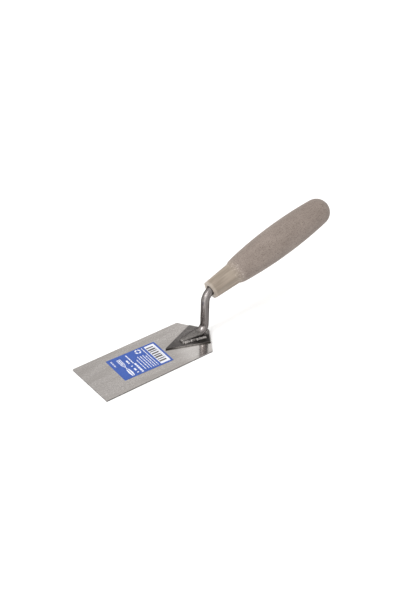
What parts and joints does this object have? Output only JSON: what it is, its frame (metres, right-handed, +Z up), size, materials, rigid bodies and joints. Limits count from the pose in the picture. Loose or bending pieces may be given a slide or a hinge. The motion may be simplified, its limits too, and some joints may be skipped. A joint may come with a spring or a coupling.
{
  "type": "margin trowel",
  "caption": "Margin trowel: flat pentagonal steel blade with a welded foot plate, a bent round shank and a swelling handle with an eight-sided neck.",
  "frame": {"origin": "middle of the blade's flat sole", "axes": "+X along the blade from its toe to the handle, +Y to the right of a user who holds the handle and looks along the blade to its toe, +Z up from the sole"},
  "size_m": [0.2591, 0.0508, 0.0909],
  "materials": {
    "blade_steel": "cold-rolled sheet, ground and finely brushed lengthwise, thinly oiled",
    "forged_steel": "dark heat-scaled mild steel, rear edge ground bright",
    "shank_steel": "drawn round bar, smooth and dark, heat-tinted near the weld",
    "weld_steel": "as-laid weld metal, rippled, with scale",
    "handle_moulding": "grey-beige foamed, wood-filled moulding, matte and finely grained, smoother on the neck",
    "adhesive": "set dark epoxy",
    "label_film": "printed self-adhesive film, satin"
  },
  "bodies": {
    "root": {"blade": "blade_steel", "foot_plate": "forged_steel", "spot_welds": "weld_steel", "shank": "shank_steel", "weld_beads": "weld_steel", "handle": "handle_moulding", "tang_adhesive": "adhesive", "label": "label_film"}
  },
  "joints": []
}
